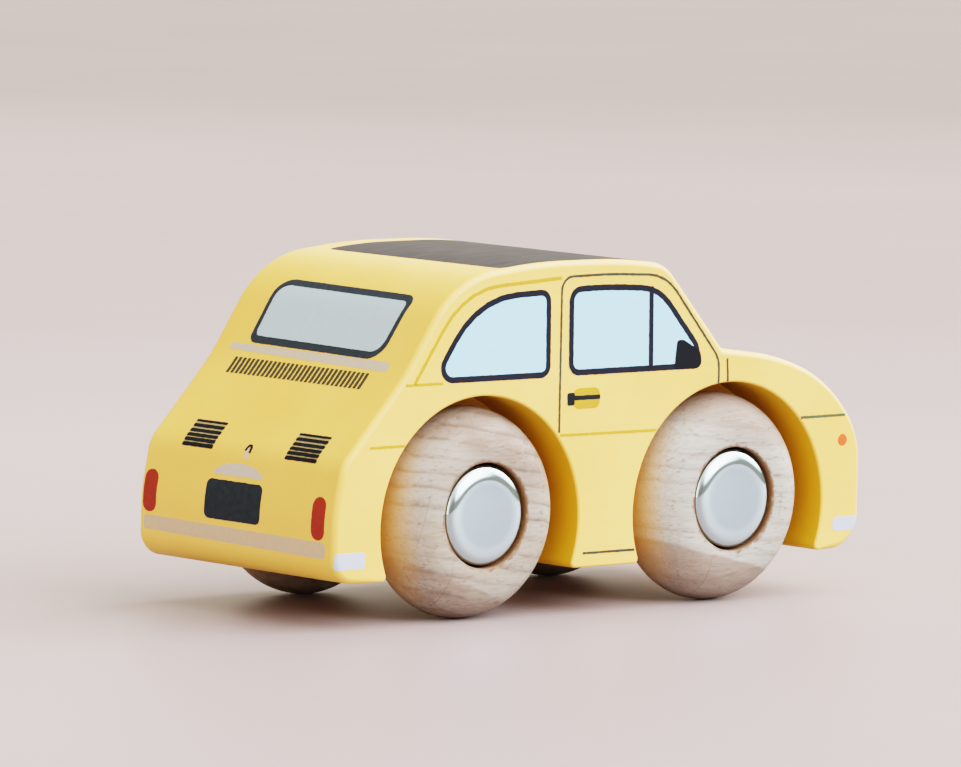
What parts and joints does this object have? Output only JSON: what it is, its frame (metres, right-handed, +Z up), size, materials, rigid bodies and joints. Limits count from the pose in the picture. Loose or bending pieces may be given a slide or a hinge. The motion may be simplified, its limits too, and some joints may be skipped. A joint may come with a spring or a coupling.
{
  "type": "toy car",
  "caption": "Small retro city car cut from a solid painted wooden block, free-rolling on turned wooden wheels with pressed metal hub caps.",
  "frame": {"origin": "on the ground under the middle of the car", "axes": "+X to the nose, +Y to the car's left side, +Z up"},
  "size_m": [0.0854, 0.0406, 0.0435],
  "materials": {
    "painted_block": "satin paint with printed trim",
    "wheel_wood": "bare sanded beech",
    "axle_steel": "drawn rod",
    "cap_metal": "polished",
    "spring_steel": "tempered",
    "washer_nylon": "natural"
  },
  "bodies": {
    "chassis": {"body": "painted_block", "washer_front_left": "washer_nylon", "washer_front_right": "washer_nylon", "washer_rear_left": "washer_nylon", "washer_rear_right": "washer_nylon"},
    "front_axle_set": {"front_axle": "axle_steel", "hub_cap_front_left": "cap_metal", "hub_cap_front_right": "cap_metal", "push_nut_front_left": "spring_steel", "push_nut_front_right": "spring_steel"},
    "rear_axle_set": {"rear_axle": "axle_steel", "hub_cap_rear_left": "cap_metal", "hub_cap_rear_right": "cap_metal", "push_nut_rear_left": "spring_steel", "push_nut_rear_right": "spring_steel"},
    "front_left_wheel": {"wheel_front_left": "wheel_wood"},
    "front_right_wheel": {"wheel_front_right": "wheel_wood"},
    "rear_left_wheel": {"wheel_rear_left": "wheel_wood"},
    "rear_right_wheel": {"wheel_rear_right": "wheel_wood"}
  },
  "joints": [
    {"name": "front_axle_turn", "type": "hinge", "parent": "chassis", "child": "front_axle_set", "pos_m": [0.0206, 0, 0.013], "axis": [0, 1, 0], "continuous": true},
    {"name": "rear_axle_turn", "type": "hinge", "parent": "chassis", "child": "rear_axle_set", "pos_m": [-0.0197, 0, 0.013], "axis": [0, 1, 0], "continuous": true},
    {"name": "front_left_roll", "type": "hinge", "parent": "front_axle_set", "child": "front_left_wheel", "pos_m": [0.0206, 0.0154, 0.013], "axis": [0, 1, 0], "continuous": true},
    {"name": "front_right_roll", "type": "hinge", "parent": "front_axle_set", "child": "front_right_wheel", "pos_m": [0.0206, -0.0154, 0.013], "axis": [0, 1, 0], "continuous": true},
    {"name": "rear_left_roll", "type": "hinge", "parent": "rear_axle_set", "child": "rear_left_wheel", "pos_m": [-0.0197, 0.0154, 0.013], "axis": [0, 1, 0], "continuous": true},
    {"name": "rear_right_roll", "type": "hinge", "parent": "rear_axle_set", "child": "rear_right_wheel", "pos_m": [-0.0197, -0.0154, 0.013], "axis": [0, 1, 0], "continuous": true}
  ]
}
